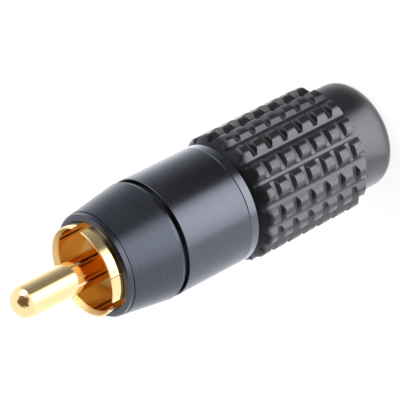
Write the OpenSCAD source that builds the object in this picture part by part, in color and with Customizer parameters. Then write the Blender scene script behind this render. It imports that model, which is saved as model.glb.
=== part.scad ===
// Phono plug: a solid pin inside a slotted collar, a tapered nose, a smooth body
// with a coding ring, and a screw-on bushing with a knobbed grip that clamps the cable.
// The axis is Z. The plug stands on the bushing's flat tail face at z = 0, pin up.

/* [Centre pin] */
// Diameter of the pin
pin_d = 3.2; // [3:0.05:3.4]
// How far the pin's round tip stands past the lip of the collar
pin_reach = 8.1; // [6:0.1:10]
// How much thinner the shank in the insulator is than the pin, on the radius
shank_step = 0.35; // [0.2:0.05:0.5]
// Height of the barb that holds the shank, on the radius
barb_step = 0.3; // [0.15:0.05:0.4]
// Length of the barb
barb_w = 0.8; // [0.4:0.1:1.2]
// Wall of the solder cup
cup_wall = 0.3; // [0.2:0.05:0.4]
// Length of the solder cup behind the insulator
cup_len = 3.4; // [2.5:0.1:4]
// Length of the cup's open half
cup_open = 2.4; // [1.5:0.1:2.5]

/* [Ground collar] */
// Bore of the collar, which slips over the socket
collar_bore = 8.3; // [8:0.05:8.6]
// Sheet thickness of the collar
collar_wall = 0.38; // [0.3:0.02:0.45]
// Depth of the cup inside the collar, from its lip to the insulator
collar_depth = 7.5; // [6:0.1:8]
// How far the collar stands out of the nose
collar_reach = 1.25; // [1:0.05:2.5]
// Length of the bevel inside the lip
lip_bevel = 0.54; // [0.3:0.02:0.8]
// Flat left on the lip
lip_flat = 0.1; // [0.04:0.02:0.16]
// Bevel at the lip's outer edge
lip_edge = 0.05; // [0.02:0.01:0.08]
// Number of spring slots
slot_count = 3; // [2:1:6]
// Width of a spring slot
slot_w = 1.2; // [0.6:0.1:1.4]
// Length of a spring slot
slot_len = 5.6; // [4:0.1:6]
// Angle of the first spring slot
slot_turn = 88; // [0:1:119]
// Width of the seam where the sheet is rolled together
seam_w = 0.08; // [0.05:0.01:0.2]
// Angle of the seam
seam_turn = 250; // [235:1:260]
// Thickness of the flange at the collar's rear
flange_h = 0.5; // [0.4:0.05:0.8]

/* [Ground tag] */
// Sheet thickness of the tag
tag_wall = 0.4; // [0.3:0.05:0.5]
// Width of the solder tongue
tag_w = 2.2; // [1.6:0.1:2.6]
// Length of the solder tongue behind the ring
tag_len = 5.2; // [4:0.1:5.5]

/* [Insulator] */
// Thickness of the collar that the tag ring lies on
seat_h = 1; // [0.8:0.1:1.4]
// Length of the trough that carries the solder ends
trough_len = 5.1; // [4:0.1:5.3]
// Wall of the trough
trough_wall = 0.7; // [0.5:0.05:0.8]
// Height of the trough's rim above the axis
trough_rim = 0.8; // [0:0.1:1.2]

/* [Nose] */
// Gap between the collar and the nose at the front
nose_gap = 0.06; // [0.04:0.02:0.2]
// Depth of that gap
nose_gap_depth = 4; // [2:0.1:4.5]
// Flat rim at the front of the nose
nose_rim = 0.41; // [0.3:0.01:0.45]
// Length of the nose outside the body
nose_len = 6.3; // [5.6:0.05:7]
// Bevel at the rim's outer edge
nose_edge = 0.2; // [0.1:0.02:0.24]
// Distance of the land's rear end from the front
land_len = 0.75; // [0.5:0.05:1.2]
// Height of the step from the land up to the taper, on the radius
land_step = 0.07; // [0.03:0.01:0.1]
// Distance of the knee in the taper from the front
knee_len = 3.75; // [3:0.05:4.2]
// How much lower the knee is than the body, on the radius
knee_drop = 0.3; // [0.2:0.02:0.34]
// Length of the bevel at the nose's rear edge
rear_bevel_len = 0.4; // [0.2:0.05:0.6]
// Height of that bevel, on the radius
rear_bevel = 0.14; // [0.08:0.02:0.2]
// Width of the shadow groove between nose and body
joint_gap = 0.45; // [0.3:0.05:0.6]
// Depth of the shadow groove
joint_depth = 0.5; // [0.3:0.05:0.55]
// Wall of the nose's spigot round the collar
spigot_wall = 0.5; // [0.4:0.02:0.7]

/* [Body] */
// Wall of the body over the nose's spigot
body_wall = 0.94; // [0.8:0.02:1.1]
// Length of the smooth body
body_len = 7.75; // [7:0.05:8.5]
// How far the nose's spigot reaches into the body
spigot_len = 2.9; // [2.4:0.1:3.2]
// Bevel on the body's edges
edge_bevel = 0.06; // [0.04:0.01:0.1]

/* [Coding ring] */
// Width of the coding ring
ring_w = 0.95; // [0.8:0.05:1.2]
// Wall of the coding ring
ring_wall = 0.5; // [0.35:0.05:0.55]

/* [Bushing] */
// How far the grip stands above the body, on the radius
grip_rise = 0.56; // [0.4:0.02:0.7]
// Length of the grip
grip_len = 13.6; // [12:0.1:15]
// Height of the cone at the front of the grip, on the radius
grip_cone = 0.9; // [0.7:0.05:1.2]
// Length of that cone
grip_cone_len = 1.2; // [1:0.05:1.3]
// Length of the cone at the rear of the grip, down to the tail
grip_rear = 0.6; // [0.1:0.05:0.8]
// Gap between the grip and the coding ring when screwed home
grip_gap = 0.2; // [0.1:0.05:0.3]
// How much lower the smooth tail is than the body, on the radius
tail_drop = 0.48; // [0.4:0.02:0.6]
// Length of the smooth tail
tail_len = 4.9; // [4.6:0.1:6]
// Rounding of the tail's rear edge
tail_round = 1.2; // [0.8:0.1:1.5]
// Largest cable that the bushing takes
cable_d = 6.2; // [5.6:0.1:6.4]
// Bevel at the mouth of the cable bore
mouth_bevel = 0.4; // [0.2:0.05:0.6]
// Length of the plain cable bore
cable_bore_len = 4.4; // [3.5:0.1:5]
// Length of the cone that closes the chuck
cone_len = 3.4; // [3:0.1:4]
// Length of the threaded neck
neck_len = 3.4; // [3:0.1:3.6]
// Wall of the threaded neck
neck_wall = 0.55; // [0.45:0.05:0.6]
// Bevel at the end of the neck
neck_bevel = 0.25; // [0.15:0.05:0.3]

/* [Grip teeth] */
// Number of tooth rows round the grip
tooth_count = 16; // [12:1:20]
// Depth of the grooves along the grip
flute_depth = 0.62; // [0.54:0.02:0.7]
// Width of those grooves at their floor
flute_floor = 0.3; // [0.2:0.05:0.5]
// Width of those grooves at the top
flute_mouth = 1.65; // [1.3:0.05:1.8]
// Distance between the grooves round the grip
ring_pitch = 1.97; // [1.8:0.01:2.2]
// Distance of the rearmost ring groove from the rear of the grip
ring_first = 1.35; // [1.1:0.05:1.4]
// Depth of the ring grooves
ring_depth = 0.52; // [0.4:0.02:0.6]
// Width of the ring grooves at the top
ring_mouth = 0.9; // [0.8:0.05:1.1]
// Width of the ring grooves at their floor
ring_floor = 0.52; // [0.4:0.02:0.7]

/* [Chuck] */
// Wall of the chuck
chuck_wall = 0.75; // [0.6:0.05:0.8]
// Wall left at the tip of the jaws
nip_wall = 0.22; // [0.16:0.02:0.4]
// Length of the tongue that keys the chuck in the trough
tongue_len = 2.2; // [1.5:0.1:2.5]
// Width of the slots between the jaws
jaw_slot_w = 0.9; // [0.6:0.1:1.2]
// Length of the slots between the jaws
jaw_slot_len = 8; // [7:0.1:8.5]
// Number of slots across the jaws
jaw_cuts = 2; // [1:1:3]
// Number of gripping ridges inside the jaws
ridge_count = 3; // [2:1:5]
// Distance between the ridges
ridge_pitch = 0.9; // [0.7:0.05:1]
// Height of a ridge
ridge_h = 0.12; // [0.06:0.02:0.16]

/* [Fits] */
// Clearance between pieces that seat in each other, on the radius
seat_gap = 0.03; // [0.02:0.01:0.05]
// Clearance between the neck's thread and the body's thread, on the radius
thread_gap = 0.15; // [0.1:0.01:0.2]
// Clearance of the chuck in the bushing, on the radius
chuck_gap = 0.15; // [0.1:0.01:0.2]
// Clearance of the cable in the chuck, on the radius
cable_gap = 0.05; // [0.03:0.01:0.1]
// Clearance between the tongue and the trough
tongue_gap = 0.2; // [0.15:0.01:0.25]
// Least width of the shoulder in the body that the collar's flange sits on
shoulder_w = 0.28; // [0.2:0.02:0.32]

/* [Hidden] */
$fn = 96;
cut = 1;

pin_r = pin_d / 2;
shank_r = pin_r - shank_step;
barb_r = shank_r + barb_step;
collar_ir = collar_bore / 2;
collar_or = collar_ir + collar_wall;

// radii from the cable outwards
cable_r = cable_d / 2;
chuck_ir = cable_r + cable_gap;
chuck_or = chuck_ir + chuck_wall;
bushing_ir = chuck_or + chuck_gap;
neck_r = bushing_ir + neck_wall;
body_ir = neck_r + thread_gap;
trough_or = bushing_ir - tongue_gap;
trough_ir = trough_or - trough_wall;

// radii from the spigot outwards, which clears the collar and covers the body's shoulder
nose_ir = collar_or + seat_gap;
spigot_r = max(nose_ir + spigot_wall, body_ir + shoulder_w + seat_gap);
flange_r = spigot_r - seat_gap;
body_r = spigot_r + seat_gap + body_wall;
ring_ir = body_r - ring_wall;
grip_r = body_r + grip_rise;
tail_r = body_r - tail_drop;

// heights from the tail face up
grip_z = tail_len;
grip_top = grip_z + grip_len;
ring_z = grip_top + grip_gap;
body_z = ring_z + ring_w;
body_top = body_z + body_len;
nose_z = body_top + joint_gap;
nose_top = nose_z + nose_len;
lip_z = nose_top + collar_reach;
tip_z = lip_z + pin_reach;
neck_top = grip_top + neck_len;
cup_floor_z = lip_z - collar_depth;
flange_top = body_top - spigot_len;
flange_z = flange_top - flange_h;
tag_z = flange_z - tag_wall;
seat_z = tag_z - seat_h;
trough_z = seat_z - trough_len;
cup_z = seat_z - cup_len;
cone_top = cable_bore_len + cone_len;
chuck_top = trough_z - tongue_gap;

// the jaws' tips stop where the cone leaves room for their wall
cone_taper = (bushing_ir - cable_r) / cone_len;
nip_r = chuck_ir + nip_wall;
chuck_z = cable_bore_len + (nip_r + chuck_gap - cable_r) / cone_taper;

// A turned solid from its outline, radius by height
module turned(outline) {
    rotate_extrude() polygon(outline);
}

// Removes what lies outside a rounded corner at radius r, at height 0, from a turned outline
module corner_cut(r, round) {
    difference() {
        translate([r - round, -cut]) square([round + cut, round + cut]);
        translate([r - round, round]) circle(r = round);
    }
}

// The solder tongue's own space, grown by a gap so that the insulator can be moulded round it
module tongue_space(gap) {
    tongue_y = trough_ir - seat_gap;
    root_y = (collar_ir + body_ir - seat_gap) / 2;
    translate([-tag_w / 2 - gap, -tongue_y - gap, tag_z + tag_wall - tag_len - gap])
        cube([tag_w + 2 * gap, tag_wall + 2 * gap, tag_len + 2 * gap]);
    translate([-tag_w / 2 - gap, -root_y, tag_z - gap])
        cube([tag_w + 2 * gap, root_y - tongue_y + tag_wall + gap, tag_wall + 2 * gap]);
}

// Turned brass pin, gilt: round tip, barbed shank and a solder cup open on one side
module center_pin() {
    stem_top = tip_z - pin_r;
    barb_z = (cup_floor_z + seat_z - barb_w) / 2;
    color("gold") difference() {
        union() {
            rotate_extrude() intersection() {
                union() {
                    translate([0, stem_top]) circle(r = pin_r);
                    translate([0, cup_floor_z]) square([pin_r, stem_top - cup_floor_z]);
                }
                translate([0, cup_floor_z]) square([pin_r + cut, tip_z - cup_floor_z + cut]);
            }
            translate([0, 0, cup_z]) cylinder(r = shank_r, h = cup_floor_z - cup_z);
            translate([0, 0, barb_z]) cylinder(r = barb_r, h = barb_w);
        }
        translate([0, 0, cup_z - cut]) cylinder(r = shank_r - cup_wall, h = cup_len + cut);
        translate([-pin_r, 0, cup_z - cut]) cube([pin_d, pin_r, cup_open + cut]);
    }
}

// Moulded insulator: fills the rear of the collar, carries the tag ring and ends in a trough
module pin_insulator() {
    plug_r = collar_ir - seat_gap;
    bore_r = shank_r + seat_gap;
    barb_z = (cup_floor_z + seat_z - barb_w) / 2;
    color("#d8d2c4") difference() {
        union() {
            translate([0, 0, seat_z]) cylinder(r = plug_r, h = cup_floor_z - seat_z);
            translate([0, 0, seat_z]) cylinder(r = body_ir - seat_gap, h = seat_h);
            difference() {
                translate([0, 0, trough_z]) cylinder(r = trough_or, h = trough_len);
                translate([0, 0, trough_z - cut]) cylinder(r = trough_ir, h = trough_len + cut);
                translate([-trough_or, trough_rim, trough_z - cut])
                    cube([2 * trough_or, trough_or, trough_len + cut]);
            }
        }
        translate([0, 0, seat_z - cut]) cylinder(r = bore_r, h = cup_floor_z - seat_z + 2 * cut);
        translate([0, 0, barb_z - seat_gap]) cylinder(r = barb_r + seat_gap, h = barb_w + 2 * seat_gap);
        tongue_space(seat_gap);
    }
}

// Collar rolled from gilt sheet: bevelled lip, spring slots, a seam and a flange at the rear
module ground_collar() {
    slot_end = lip_z - slot_len + slot_w / 2;
    color("goldenrod") difference() {
        turned([
            [collar_ir, flange_z],
            [flange_r, flange_z],
            [flange_r, flange_top],
            [collar_or, flange_top],
            [collar_or, lip_z - lip_edge],
            [collar_or - lip_edge, lip_z],
            [collar_or - lip_edge - lip_flat, lip_z],
            [collar_ir, lip_z - lip_bevel]
        ]);
        for (i = [0 : slot_count - 1]) rotate(slot_turn + 360 / slot_count * i) {
            translate([0, -slot_w / 2, slot_end]) cube([flange_r + cut, slot_w, slot_len + cut]);
            translate([0, 0, slot_end]) rotate([0, 90, 0]) cylinder(d = slot_w, h = flange_r + cut);
        }
        rotate(seam_turn) translate([0, -seam_w / 2, flange_z - cut])
            cube([flange_r + cut, seam_w, lip_z - flange_z + 2 * cut]);
    }
}

// Stamped solder tag: a ring under the collar's flange and a tongue bent back along the trough
module ground_tag() {
    color("goldenrod") difference() {
        union() {
            translate([0, 0, tag_z]) difference() {
                cylinder(r = body_ir - seat_gap, h = tag_wall);
                translate([0, 0, -cut]) cylinder(r = collar_ir, h = tag_wall + 2 * cut);
            }
            tongue_space(0);
        }
        translate([-tag_w, -trough_ir + seat_gap + tag_wall, tag_z - tag_len])
            cube([2 * tag_w, trough_ir, 2 * tag_len]);
    }
}

// Tapered nose sleeve: bevelled rim, land, two-step taper, shadow groove and the spigot for the body
module nose() {
    mouth_r = collar_or + nose_gap;
    front_r = mouth_r + nose_rim;
    land_r = front_r + nose_edge;
    land_z = nose_top - land_len;
    gap_z = nose_top - nose_gap_depth;
    color("#26272b") turned([
        [mouth_r, nose_top],
        [mouth_r, gap_z],
        [nose_ir, gap_z],
        [nose_ir, flange_top],
        [spigot_r, flange_top],
        [spigot_r, body_top],
        [body_r - joint_depth, body_top],
        [body_r - joint_depth, nose_z],
        [body_r - rear_bevel, nose_z],
        [body_r, nose_z + rear_bevel_len],
        [body_r - knee_drop, nose_top - knee_len],
        [land_r + land_step, land_z],
        [land_r, land_z],
        [land_r, nose_top - nose_edge],
        [front_r, nose_top]
    ]);
}

// Smooth body tube: takes the nose's spigot in front and the bushing's thread behind
module body() {
    step_z = ring_z + seat_gap;
    color("#2b2c30") turned([
        [body_ir, step_z],
        [ring_ir, step_z],
        [ring_ir, body_z],
        [body_r - edge_bevel, body_z],
        [body_r, body_z + edge_bevel],
        [body_r, body_top - edge_bevel],
        [body_r - edge_bevel, body_top],
        [spigot_r + seat_gap, body_top],
        [spigot_r + seat_gap, flange_z],
        [body_ir, flange_z]
    ]);
}

// Plain coding ring that slips over the body's rear spigot
module coding_ring() {
    bore_r = ring_ir + seat_gap;
    color("#3a3c42") turned([
        [bore_r, ring_z],
        [body_r - edge_bevel, ring_z],
        [body_r, ring_z + edge_bevel],
        [body_r, body_z - edge_bevel],
        [body_r - edge_bevel, body_z],
        [bore_r, body_z]
    ]);
}

// Cable chuck: a slit tube whose tapered jaws close in the bushing's cone, with a keyed tongue
module chuck() {
    taper_top = chuck_z + (chuck_or - nip_r) / cone_taper;
    slot_top = chuck_z + jaw_slot_len;
    color("ivory") {
        difference() {
            turned(concat(
                [
                    [chuck_ir, chuck_top],
                    [chuck_or, chuck_top],
                    [chuck_or, taper_top],
                    [nip_r, chuck_z],
                    [chuck_ir, chuck_z]
                ],
                [for (i = [0 : ridge_count - 1]) each [
                    [chuck_ir, chuck_z + ridge_pitch * (i + 0.5)],
                    [chuck_ir - ridge_h, chuck_z + ridge_pitch * (i + 0.75)],
                    [chuck_ir, chuck_z + ridge_pitch * (i + 1)]
                ]]
            ));
            for (i = [0 : jaw_cuts - 1]) rotate(180 / jaw_cuts * (i + 0.5)) {
                translate([-chuck_or - cut, -jaw_slot_w / 2, chuck_z - cut])
                    cube([2 * (chuck_or + cut), jaw_slot_w, jaw_slot_len + cut]);
                translate([-chuck_or - cut, 0, slot_top]) rotate([0, 90, 0])
                    cylinder(d = jaw_slot_w, h = 2 * (chuck_or + cut));
            }
        }
        difference() {
            translate([0, 0, chuck_top]) cylinder(r = chuck_or, h = tongue_len);
            translate([0, 0, chuck_top - cut]) cylinder(r = chuck_ir, h = tongue_len + 2 * cut);
            translate([-chuck_or, trough_rim + tongue_gap - 2 * chuck_or, chuck_top - cut])
                cube([2 * chuck_or, 2 * chuck_or, tongue_len + 2 * cut]);
        }
    }
}

// Tool that cuts one groove along the grip
module flute() {
    flank = (flute_mouth - flute_floor) / 2 / flute_depth;
    rim_r = grip_r + cut;
    rim_w = flute_mouth / 2 + flank * cut;
    translate([0, 0, grip_z - grip_rear]) linear_extrude(grip_rear + grip_len + cut) polygon([
        [grip_r - flute_depth, -flute_floor / 2],
        [rim_r, -rim_w],
        [rim_r, rim_w],
        [grip_r - flute_depth, flute_floor / 2]
    ]);
}

// Tool that cuts one groove round the grip
module ring_groove() {
    flank = (ring_mouth - ring_floor) / 2 / ring_depth;
    rim_r = grip_r + cut;
    rim_w = ring_mouth / 2 + flank * cut;
    turned([
        [grip_r - ring_depth, -ring_floor / 2],
        [rim_r, -rim_w],
        [rim_r, rim_w],
        [grip_r - ring_depth, ring_floor / 2]
    ]);
}

// Moulded bushing: smooth tail with the cable bore, knobbed grip, chuck cone and threaded neck
module bushing() {
    rings = floor((grip_len - grip_cone_len - ring_first) / ring_pitch);
    color("#1f2023") difference() {
        rotate_extrude() difference() {
            polygon([
                [cable_r + mouth_bevel, 0],
                [tail_r, 0],
                [tail_r, grip_z - grip_rear],
                [grip_r, grip_z],
                [grip_r, grip_top - grip_cone_len],
                [grip_r - grip_cone, grip_top],
                [neck_r, grip_top],
                [neck_r, neck_top - neck_bevel],
                [neck_r - neck_bevel, neck_top],
                [bushing_ir, neck_top],
                [bushing_ir, cone_top],
                [cable_r, cable_bore_len],
                [cable_r, mouth_bevel]
            ]);
            corner_cut(tail_r, tail_round);
        }
        for (i = [0 : tooth_count - 1]) rotate(360 / tooth_count * i) flute();
        for (i = [0 : rings]) translate([0, 0, grip_z + ring_first + ring_pitch * i]) ring_groove();
    }
}

center_pin();
pin_insulator();
ground_collar();
ground_tag();
nose();
body();
coding_ring();
chuck();
bushing();
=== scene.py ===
import math

import bpy
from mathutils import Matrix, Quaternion, Vector


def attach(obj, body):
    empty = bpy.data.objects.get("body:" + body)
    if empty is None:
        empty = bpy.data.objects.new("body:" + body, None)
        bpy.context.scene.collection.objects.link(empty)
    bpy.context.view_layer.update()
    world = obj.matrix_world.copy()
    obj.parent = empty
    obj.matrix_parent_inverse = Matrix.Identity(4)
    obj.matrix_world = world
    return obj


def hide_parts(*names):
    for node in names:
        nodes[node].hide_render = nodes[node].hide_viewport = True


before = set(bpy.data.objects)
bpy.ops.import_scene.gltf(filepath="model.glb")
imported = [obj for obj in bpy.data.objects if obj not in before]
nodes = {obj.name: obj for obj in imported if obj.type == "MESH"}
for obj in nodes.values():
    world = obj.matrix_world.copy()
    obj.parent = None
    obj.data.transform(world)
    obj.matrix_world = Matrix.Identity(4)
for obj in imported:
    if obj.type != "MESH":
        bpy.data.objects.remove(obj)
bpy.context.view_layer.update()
mm = 0.001

# Centre pin and solder tag
# The pin is turned from brass with a round tip, the tag is stamped from sheet, and both
# are gold plated. The pin is pressed into the insulator, the tag lies under the collar.


def linear(code):
    """sRGB hex colour as the linear RGBA that a shader socket takes."""
    shares = [int(code[i:i + 2], 16) / 255 for i in (1, 3, 5)]
    return (*(s / 12.92 if s <= 0.04045 else ((s + 0.055) / 1.055) ** 2.4 for s in shares), 1.0)


def add(tree, kind, settings=None, links=None):
    """Adds one node with its settings and the links that run into its sockets."""
    made = tree.nodes.new(kind)
    for name, value in (settings or {}).items():
        if isinstance(name, int) or name in made.inputs:
            made.inputs[name].default_value = value
        else:
            setattr(made, name, value)
    for name, source in (links or {}).items():
        tree.links.new(source, made.inputs[name])
    return made


def new_finish(name):
    """An empty material, its node tree and the Object coordinates that its patterns read."""
    finish = bpy.data.materials.new(name)
    finish.use_nodes = True
    finish.node_tree.nodes.clear()
    place = add(finish.node_tree, "ShaderNodeTexCoord").outputs["Object"]
    return finish, finish.node_tree, place


def noise(tree, place, size, detail):
    """Share from 0 to 1 that wavers over the given size."""
    return add(tree, "ShaderNodeTexNoise", {"Scale": 1 / size, "Detail": detail}, {"Vector": place}).outputs["Fac"]


def lathe_noise(tree, place, spacing, detail):
    """Share from 0 to 1 that changes along the axis only, like the rings of a lathe tool."""
    lines = add(tree, "ShaderNodeMapping", {"Scale": (0, 0, 1 / spacing)}, {"Vector": place})
    return noise(tree, lines.outputs["Vector"], 1.0, detail)


def blend(tree, share, one, other):
    """Colour between two sRGB hex colours."""
    mixed = add(tree, "ShaderNodeMixRGB", {"Color1": linear(one), "Color2": linear(other)}, {"Fac": share})
    return mixed.outputs["Color"]


def between(tree, share, ends, span=(0, 1)):
    """Value that runs between two ends while the share crosses its span."""
    ramp = add(tree, "ShaderNodeMapRange",
               {"From Min": span[0], "From Max": span[1], "To Min": ends[0], "To Max": ends[1]}, {"Value": share})
    return ramp.outputs["Result"]


def relief(tree, share, strength):
    """Normal of a skin whose unevenness is a hundredth of a millimetre deep."""
    bump = add(tree, "ShaderNodeBump", {"Strength": strength, "Distance": 0.01 * mm}, {"Height": share})
    return bump.outputs["Normal"]


def finish_with(tree, settings, links):
    """Ends a material with its shader."""
    skin = add(tree, "ShaderNodeBsdfPrincipled", settings, links)
    add(tree, "ShaderNodeOutputMaterial", links={"Surface": skin.outputs["BSDF"]})


def coat(finish, *pieces):
    """Gives the pieces this finish and no other."""
    for piece in pieces:
        piece.data.materials.clear()
        piece.data.materials.append(finish)


# Gold plating mirrors the room, softened by the turning lines that show through it.
# The real lines are finer than a picture element, so they are drawn a quarter of a millimetre apart.
gilt_tone, gilt_deep = "#ffe3ac", "#fbdb9f"
gilt_gloss = (0.06, 0.14)
lathe_line = 0.25 * mm
cloud_size = 2.5 * mm

gilt, tree, place = new_finish("polished gold plating on brass")
turning = lathe_noise(tree, place, lathe_line, 2.0)
clouds = noise(tree, place, cloud_size, 3.0)
finish_with(tree, {"Metallic": 1.0},
            {"Base Color": blend(tree, clouds, gilt_tone, gilt_deep), "Roughness": between(tree, turning, gilt_gloss),
             "Normal": relief(tree, turning, 0.05)})
coat(gilt, nodes["center_pin"], nodes["ground_tag"])

# Insulator
# A moulded plug of natural white plastic that fills the rear of the collar and holds the pin.
# Only its front face shows, deep in the collar.
insulator_tone, insulator_fleck = "#e6e2d8", "#dbd5c8"
insulator_grain = 0.3 * mm

# The half-matt plastic scatters what light gets in, and the gold round it glows amber from that.
white_plastic, tree, place = new_finish("natural white moulded plastic")
grain = noise(tree, place, insulator_grain, 3.0)
finish_with(tree, {"Roughness": 0.45, "IOR": 1.5}, {"Base Color": blend(tree, grain, insulator_tone, insulator_fleck)})
coat(white_plastic, nodes["pin_insulator"])

# Ground collar
# Rolled from sheet brass with spring slots, a butt seam and a bevelled lip, then gold plated
# like the pin. It is pushed into the nose from behind and held by its flange.
# The two bore colours below are painted shade: the same gold plating drawn a deeper amber inside the bore.
bore_painted_shade_tone, bore_painted_shade_deep = "#fdd992", "#f6c979"
bore_gloss = (0.07, 0.13)
bore_wall = (4.16 * mm, 4.24 * mm)
lip_start, lip_outer, lip_dull = 34.87 * mm, 4.45 * mm, 0.35

# Painted shade: the bore's plating is drawn a deeper amber than the outside, for the shade deep in the recess, though
# the plating is the same. It also mirrors itself several times over.
# The lip's bevel is drawn duller, so it softens what it mirrors.
gilt_with_painted_bore_shade, tree, place = new_finish("polished gold plating, with painted shade in the bore")
clouds = noise(tree, place, cloud_size, 3.0)
flat = add(tree, "ShaderNodeVectorMath", {"operation": "MULTIPLY", 1: (1, 1, 0)}, {0: place})
radius = add(tree, "ShaderNodeVectorMath", {"operation": "LENGTH"}, {0: flat.outputs["Vector"]}).outputs["Value"]
# Painted shade: inside the bore wall the deeper amber is used, outside it the plain gold.
shade = add(tree, "ShaderNodeMixRGB",
            links={"Fac": between(tree, radius, (0, 1), bore_wall), "Color1": blend(tree, clouds, bore_painted_shade_tone, bore_painted_shade_deep),
                   "Color2": blend(tree, clouds, gilt_tone, gilt_deep)})
height = add(tree, "ShaderNodeSeparateXYZ", links={"Vector": place}).outputs["Z"]
high = add(tree, "ShaderNodeMath", {"operation": "GREATER_THAN", 1: lip_start}, {0: height})
inside = add(tree, "ShaderNodeMath", {"operation": "LESS_THAN", 1: lip_outer}, {0: radius})
lip = add(tree, "ShaderNodeMath", {"operation": "MULTIPLY"}, {0: high.outputs[0], 1: inside.outputs[0]})
dull = add(tree, "ShaderNodeMath", {"operation": "MULTIPLY_ADD", 1: lip_dull},
           {0: lip.outputs[0], 2: between(tree, clouds, bore_gloss)})
finish_with(tree, {"Metallic": 1.0}, {"Base Color": shade.outputs["Color"], "Roughness": dull.outputs[0]})
coat(gilt_with_painted_bore_shade, nodes["ground_collar"])

# Nose
# A tapered metal sleeve, turned from bar with a narrow land at its front and then plated black.
# Its spigot is pressed into the body.
plate_tone, plate_thin = "#41444b", "#595c64"
plate_gloss = (0.22, 0.3)
tool_mark = 0.22 * mm

# The tool's rings show through the thin plating and draw the highlights out into fine streaks.
# Feed marks are usually about 0.1 mm apart. They are drawn at twice that, to show in the picture.
turned_plating, tree, place = new_finish("satin black plating on turned metal")
turning = lathe_noise(tree, place, tool_mark, 3.0)
finish_with(tree, {"Metallic": 1.0},
            {"Base Color": blend(tree, turning, plate_tone, plate_thin),
             "Roughness": between(tree, turning, plate_gloss), "Normal": relief(tree, turning, 0.25)})
coat(turned_plating, nodes["nose"])

# Body
# A plain metal tube under the same black plating. It is threaded inside for the bushing and
# carries the coding ring on a spigot at its rear.
tube_tone, tube_thin = "#5b5d65", "#61636b"
tube_gloss = (0.19, 0.24)
peel_size = 0.5 * mm

# The tube is smoother than the nose, so light and dark lie along it in clean soft bands.
smooth_plating, tree, place = new_finish("satin black plating on a smooth tube")
orange_peel = noise(tree, place, peel_size, 2.0)
finish_with(tree, {"Metallic": 1.0},
            {"Base Color": blend(tree, orange_peel, tube_tone, tube_thin),
             "Roughness": between(tree, orange_peel, tube_gloss), "Normal": relief(tree, orange_peel, 0.03)})
coat(smooth_plating, nodes["body"])

# Coding ring
# A narrow moulded ring of black plastic that tells one lead from another by its colour.
# It is slipped over the body's rear spigot.
ring_tone, ring_cool, ring_sheen = "#07080b", "#0c0f14", "#e8f1ff"
ring_gloss = (0.13, 0.18)
mottle_size = 0.8 * mm

# It is polished smoother than the body and mirrors the light as a cool bright line.
ring_plastic, tree, place = new_finish("polished black moulded plastic")
mottle = noise(tree, place, mottle_size, 2.0)
finish_with(tree,
            {"IOR": 1.55, "Specular IOR Level": 1.0, "Coat Weight": 1.0, "Coat IOR": 1.6, "Coat Roughness": 0.13,
             "Coat Tint": linear(ring_sheen)},
            {"Base Color": blend(tree, mottle, ring_tone, ring_cool), "Roughness": between(tree, mottle, ring_gloss)})
coat(ring_plastic, nodes["coding_ring"])

# Chuck
# A slit tube of natural acetal that the bushing's cone squeezes on to the cable.
# It lies inside the bushing and shows only through the cable bore.
acetal_tone, acetal_shade = "#e9e5da", "#d9d3c4"
flow_size = 1.5 * mm

# Acetal looks creamy, with faint clouds where it flowed into the mould.
acetal, tree, place = new_finish("natural moulded acetal")
flow = noise(tree, place, flow_size, 2.0)
finish_with(tree, {"Roughness": 0.4, "IOR": 1.48}, {"Base Color": blend(tree, flow, acetal_tone, acetal_shade)})
coat(acetal, nodes["chuck"])

# Bushing
# One moulding of black nylon: smooth tail, knobbed grip and threaded neck. The mould leaves
# small radii on every knob, so the CAD solid's copy gets its edges rounded.
corner_round, bottom_round, ring_round, round_steps = 0.32 * mm, 0.09 * mm, 0.03 * mm, 4
flute_top, knob_crown = 6.03 * mm, 6.4 * mm
weld_reach = 0.003 * mm
flat_fold, sharp_fold, smooth_fold = math.radians(0.6), math.radians(25), math.radians(35)
upright = 0.9
first_groove, groove_pitch, groove_mouth, groove_count = 6.25 * mm, 1.97 * mm, 0.9 * mm, 6
grip_rear, grip_front = 4.9 * mm, 17.3 * mm

bushing = bpy.data.objects.new("knobbed_bushing", nodes["bushing"].data.copy())
bpy.context.scene.collection.objects.link(bushing)
bpy.ops.object.select_all(action="DESELECT")
bushing.select_set(True)
bpy.context.view_layer.objects.active = bushing
bpy.ops.mesh.customdata_custom_splitnormals_clear()
bpy.ops.object.mode_set(mode="EDIT")
bpy.ops.mesh.select_all(action="SELECT")
bpy.ops.mesh.remove_doubles(threshold=weld_reach)
bpy.ops.mesh.dissolve_limited(angle_limit=flat_fold)

# The flanks are cut at the grooves' edges, because the rounding fails on comb-shaped faces.
splits = [grip_rear, grip_front]
for groove in range(groove_count):
    middle = first_groove + groove_pitch * groove
    splits += [middle - groove_mouth / 2, middle + groove_mouth / 2]
for level in splits:
    bpy.ops.mesh.select_all(action="SELECT")
    bpy.ops.mesh.bisect(plane_co=(0, 0, level), plane_no=(0, 0, 1), threshold=weld_reach)
bpy.ops.object.mode_set(mode="OBJECT")

# Knob corners get the largest radius, flute bottoms less, and the other edges are only broken.
mesh = bushing.data
beside = {}
for face in mesh.polygons:
    for key in face.edge_keys:
        beside.setdefault(key, []).append(face.normal)
weights = mesh.attributes.new("bevel_weight_edge", "FLOAT", "EDGE")
for edge in mesh.edges:
    sides = beside[edge.key]
    if len(sides) != 2 or sides[0].angle(sides[1]) < sharp_fold:
        continue
    one, other = (mesh.vertices[i].co for i in edge.vertices)
    reach = ((one + other) / 2).xy.length
    along = abs(other.z - one.z) > upright * (other - one).length
    size = ring_round
    if along and reach > knob_crown:
        size = corner_round
    elif along and reach < flute_top:
        size = bottom_round
    weights.data[edge.index].value = size / corner_round
rounding = bushing.modifiers.new("rounded mould edges", "BEVEL")
rounding.width = corner_round
rounding.segments = round_steps
rounding.limit_method = "WEIGHT"
rounding.use_clamp_overlap = False
bpy.ops.object.modifier_apply(modifier=rounding.name)
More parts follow.
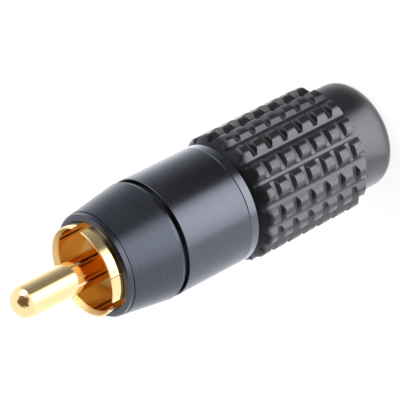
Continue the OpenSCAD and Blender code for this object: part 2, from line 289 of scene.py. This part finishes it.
bpy.ops.object.shade_smooth_by_angle(angle=smooth_fold)
flats = bushing.modifiers.new("flat faces stay flat", "WEIGHTED_NORMAL")
flats.weight = 100
flats.keep_sharp = True
bpy.ops.object.modifier_apply(modifier=flats.name)
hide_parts("bushing")
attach(bushing, "bushing")

# Moulded nylon has a satin skin with a fine grain from the mould, drawn coarser than it usually is.
# Painted shade: the grip's front end is drawn matt, so the band behind the ring, between the parts, looks darker than
# the knobs.
nylon_tone, nylon_pale, nylon_sheen = "#131417", "#1b1c20", "#eff0f5"
nylon_gloss = (0.25, 0.34)
mould_grain = 0.12 * mm
painted_shade_front = (17.0 * mm, 17.6 * mm)
sheen_levels, coat_levels = (0.95, 0.14), (0.45, 0.0)

nylon, tree, place = new_finish("satin black moulded nylon")
grain = noise(tree, place, mould_grain, 3.0)
height = add(tree, "ShaderNodeSeparateXYZ", links={"Vector": place}).outputs["Z"]
# Painted shade: towards the front end the sheen and the coat fade out, so the band behind the ring looks dark.
finish_with(tree, {"IOR": 1.53, "Specular Tint": linear(nylon_sheen), "Coat Roughness": 0.22},
            {"Base Color": blend(tree, grain, nylon_tone, nylon_pale), "Roughness": between(tree, grain, nylon_gloss),
             "Normal": relief(tree, grain, 0.2), "Specular IOR Level": between(tree, height, sheen_levels, painted_shade_front),
             "Coat Weight": between(tree, height, coat_levels, painted_shade_front)})
coat(nylon, bushing, nodes["bushing"])

# Neck thread
# The bushing's moulded screw thread, one start of 0.8 mm pitch round the neck, in the same
# nylon. It turns in the body's thread and shows when the bushing is unscrewed.
thread_pitch, thread_turns, thread_steps = 0.8 * mm, 3, 64
thread_middle, thread_start = 4.5 * mm, 18.98 * mm
thread_height, thread_foot = 0.21 * mm, 0.3 * mm

bpy.ops.object.select_all(action="DESELECT")
bpy.ops.mesh.primitive_circle_add(vertices=4, radius=mm)
thread = bpy.context.object
thread.name = "neck_thread"
bpy.ops.object.mode_set(mode="EDIT")
bpy.ops.mesh.select_all(action="SELECT")
bpy.ops.transform.rotate(value=math.radians(90), orient_axis="X", center_override=(0, 0, 0))
bpy.ops.transform.resize(value=(thread_height / mm, 1, thread_foot / mm), center_override=(0, 0, 0))
bpy.ops.transform.translate(value=(thread_middle, 0, thread_start))
bpy.ops.object.mode_set(mode="OBJECT")
winding = thread.modifiers.new("thread winding", "SCREW")
winding.screw_offset = thread_pitch
winding.iterations = thread_turns
winding.steps = winding.render_steps = thread_steps
bpy.ops.object.modifier_apply(modifier=winding.name)
bpy.ops.object.mode_set(mode="EDIT")
bpy.ops.mesh.select_all(action="SELECT")
bpy.ops.mesh.remove_doubles(threshold=weld_reach)
bpy.ops.mesh.fill_holes(sides=4)
bpy.ops.mesh.select_all(action="SELECT")
bpy.ops.mesh.normals_make_consistent(inside=False)
bpy.ops.object.mode_set(mode="OBJECT")
bpy.ops.object.shade_smooth_by_angle(angle=smooth_fold)
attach(thread, "bushing")
coat(nylon, thread)

# Floor
# A white table top under the plug. To the camera and in mirrors it is plain white,
# with part of its true shading left so that the plug's shadow stays.
floor_size = 4.0
floor_tone = "#f4f4f4"
shadow_share = 0.15
white_level = 1.06

bpy.ops.object.select_all(action="DESELECT")
bpy.ops.mesh.primitive_plane_add(size=floor_size)
floor = bpy.context.object
floor.name = "floor"
white_top, tree, place = new_finish("white table top")
rays = add(tree, "ShaderNodeLightPath")
seen = add(tree, "ShaderNodeMath", {"operation": "MULTIPLY", 1: 1 - shadow_share},
           {0: rays.outputs["Is Camera Ray"]})
mirrored = add(tree, "ShaderNodeMath", {"operation": "MAXIMUM"},
               {0: rays.outputs["Is Glossy Ray"], 1: rays.outputs["Is Transmission Ray"]})
share = add(tree, "ShaderNodeMath", {"operation": "MAXIMUM"}, {0: seen.outputs[0], 1: mirrored.outputs[0]})
matt = add(tree, "ShaderNodeBsdfDiffuse", {"Color": linear(floor_tone)})
plain = add(tree, "ShaderNodeEmission", {"Color": (1, 1, 1, 1), "Strength": white_level})
mixed = add(tree, "ShaderNodeMixShader", links={0: share.outputs[0], 1: matt.outputs[0], 2: plain.outputs[0]})
add(tree, "ShaderNodeOutputMaterial", links={"Surface": mixed.outputs[0]})
coat(white_top, floor)

# Studio room
# A pale room with a darker, uneven side behind the camera, which the pin's tip mirrors.
# Directions are given as a turn, clockwise from the camera seen from above, and a rise.
view_turn, view_rise = math.radians(2.7), math.radians(32.74)
room_pale, room_dark = "#f6f6f8", "#6b5749"
room_light, mirror_light = 0.8, 1.2
dark_side = (-6, 53)
dark_edge, dark_heart = math.radians(46), math.radians(27)
dark_unevenness, dark_blot = 0.4, 1 / 2.6


def toward(turn, rise):
    """Unit direction from the plug, for a turn and a rise in degrees."""
    angle, lift = view_turn - math.radians(turn), math.radians(rise)
    return Vector((math.sin(angle) * math.cos(lift), -math.cos(angle) * math.cos(lift), math.sin(lift)))


world = bpy.data.worlds.new("studio room")
bpy.context.scene.world = world
world.use_nodes = True
tree = world.node_tree
tree.nodes.clear()
gaze = add(tree, "ShaderNodeTexCoord").outputs["Generated"]
facing = add(tree, "ShaderNodeVectorMath", {"operation": "DOT_PRODUCT", 1: toward(*dark_side)}, {0: gaze})
strayed = add(tree, "ShaderNodeMath", {"operation": "MULTIPLY_ADD", 1: dark_unevenness},
              {0: noise(tree, gaze, dark_blot, 1.0), 2: facing.outputs["Value"]})
evened = add(tree, "ShaderNodeMath", {"operation": "SUBTRACT", 1: dark_unevenness / 2}, {0: strayed.outputs[0]})
dark = add(tree, "ShaderNodeMapRange",
           {"interpolation_type": "SMOOTHSTEP", "From Min": math.cos(dark_edge), "From Max": math.cos(dark_heart)},
           {"Value": evened.outputs[0]})
rays = add(tree, "ShaderNodeLightPath")
walls = add(tree, "ShaderNodeBackground",
            links={"Color": blend(tree, dark.outputs["Result"], room_pale, room_dark),
                   "Strength": between(tree, rays.outputs["Is Glossy Ray"], (room_light, mirror_light))})
blank = add(tree, "ShaderNodeBackground", {"Color": (1, 1, 1, 1), "Strength": 1.0})
mixed = add(tree, "ShaderNodeMixShader",
            links={0: rays.outputs["Is Camera Ray"], 1: walls.outputs[0], 2: blank.outputs[0]})
add(tree, "ShaderNodeOutputWorld", links={"Surface": mixed.outputs[0]})

# Light card
# A wide sheet that lies on the table round the plug and only shows in reflections. Its glow
# changes with the direction: bright before the plug, pale at the right, nearly dark at the left.
# Each row below pairs a turn in degrees with a glow, close to the plug and farther out.
card_lift = 0.3 * mm
card_reach, card_sides = 400 * mm, 128
card_hole = (5.6 * mm, 7.5 * mm)
card_tint = "#f5f7fc"
card_peak = 3.4
card_near = [(-180, 1.4), (-160, 1.45), (-140, 1.7), (-130, 1.55), (-120, 1.25), (-110, 0.9), (-100, 0.62),
             (-90, 0.42), (-80, 0.27), (-66, 0.15), (-33, 0.14), (-27, 0.5), (-20, 2.2), (-10, 3.0), (0, 3.3),
             (15, 3.3), (30, 2.85), (42, 2.3), (47, 1.3), (60, 1.28), (120, 1.32), (145, 1.15), (180, 1.4)]
card_far = [(-180, 1.4), (-150, 1.5), (-130, 1.4), (-115, 1.05), (-100, 0.72), (-90, 0.56), (-75, 0.4),
            (-60, 0.29), (-45, 0.26), (-30, 0.27), (-25, 0.55), (-17, 1.8), (-5, 2.7), (15, 2.7), (35, 2.1),
            (45, 1.7), (50, 1.3), (120, 1.35), (180, 1.4)]
card_turnover = (42 * mm, 58 * mm)

bpy.ops.object.select_all(action="DESELECT")
bpy.ops.mesh.primitive_circle_add(vertices=card_sides, radius=card_reach, fill_type="NGON",
                                  location=(0, 0, card_lift))
card = bpy.context.object
card.name = "light_card"
glow, tree, place = new_finish("light card glow")
ahead = add(tree, "ShaderNodeVectorMath", {"operation": "DOT_PRODUCT", 1: toward(0, 0)}, {0: place})
aside = add(tree, "ShaderNodeVectorMath", {"operation": "DOT_PRODUCT", 1: toward(90, 0)}, {0: place})
turn = add(tree, "ShaderNodeMath", {"operation": "ARCTAN2"}, {0: aside.outputs["Value"], 1: ahead.outputs["Value"]})
share = between(tree, turn.outputs[0], (0, 1), (-math.pi, math.pi))
rings = []
for glows in (card_near, card_far):
    ramp = add(tree, "ShaderNodeValToRGB", links={"Fac": share})
    stops = ramp.color_ramp.elements
    while len(stops) < len(glows):
        stops.new(0.5)
    for stop, (degrees, level) in zip(stops, glows):
        stop.position = (degrees + 180) / 360
        stop.color = (*[level / card_peak] * 3, 1.0)
    rings.append(ramp.outputs["Color"])
away = add(tree, "ShaderNodeVectorMath", {"operation": "LENGTH"}, {0: place}).outputs["Value"]
both = add(tree, "ShaderNodeMixRGB",
           links={"Fac": between(tree, away, (0, 1), card_turnover), "Color1": rings[0], "Color2": rings[1]})
level = add(tree, "ShaderNodeMath", {"operation": "MULTIPLY", 1: card_peak}, {0: both.outputs["Color"]})
lit = add(tree, "ShaderNodeEmission", {"Color": linear(card_tint)}, {"Strength": level.outputs[0]})
inner = add(tree, "ShaderNodeMapRange",
            {"interpolation_type": "SMOOTHSTEP", "From Min": card_hole[0], "From Max": card_hole[1]}, {"Value": away})
clear = add(tree, "ShaderNodeBsdfTransparent")
mixed = add(tree, "ShaderNodeMixShader", links={0: inner.outputs["Result"], 1: clear.outputs[0], 2: lit.outputs[0]})
add(tree, "ShaderNodeOutputMaterial", links={"Surface": mixed.outputs[0]})
coat(glow, card)
card.visible_camera = card.visible_diffuse = card.visible_shadow = card.visible_transmission = False

# Softboxes
# Two soft lamps stand at the plug's left: a low one that the gold and the knobs mirror, and a
# wide high one that shines into the collar and isn't mirrored.
# Each row is name, turn, rise, distance, width, glow, and whether it shows in reflections.
softboxes = [
    ("side_softbox", -62, 14, 300 * mm, 190 * mm, 2.2, True),
    ("top_softbox", -90, 72, 500 * mm, 380 * mm, 5.0, False),
]
waist = Vector((0, 0, 25 * mm))
for name, turn, rise, distance, width, glow, in_mirrors in softboxes:
    lamp = bpy.data.lights.new(name, "AREA")
    lamp.size = width
    lamp.energy = glow * math.pi * width * width
    box = bpy.data.objects.new(name, lamp)
    bpy.context.scene.collection.objects.link(box)
    box.location = waist + toward(turn, rise) * distance
    box.rotation_mode = "QUATERNION"
    box.rotation_quaternion = (-toward(turn, rise)).to_track_quat("-Z", "Y")
    box.visible_camera = False
    box.visible_glossy = in_mirrors

# Camera
# A long lens from a hand's breadth above the pin's side, rolled so that the pin points to the
# lower left. The aim is the point of the plug at the middle of the 400 by 400 picture.
view_roll = math.radians(-117.04)
view_away = 239.2 * mm
aim = Vector((0.985 * mm, 0.036 * mm, 20.27 * mm))
picture_width, focal_length = 400, 2500
sensor_width = 36

lens = bpy.data.cameras.new("camera")
lens.sensor_width = sensor_width
lens.lens = focal_length / picture_width * sensor_width
lens.clip_start, lens.clip_end = 5 * mm, 10
camera = bpy.data.objects.new("camera", lens)
bpy.context.scene.collection.objects.link(camera)
back = toward(0, math.degrees(view_rise))
camera.location = aim + back * view_away
camera.rotation_mode = "QUATERNION"
camera.rotation_quaternion = (-back).to_track_quat("-Z", "Y") @ Quaternion((0, 0, 1), view_roll)
bpy.context.scene.camera = camera

# The gold's reflections in the bore need many bounces before they reach the light.
bpy.context.scene.view_settings.view_transform = "Standard"
bpy.context.scene.cycles.max_bounces = 24
bpy.context.scene.cycles.glossy_bounces = 16
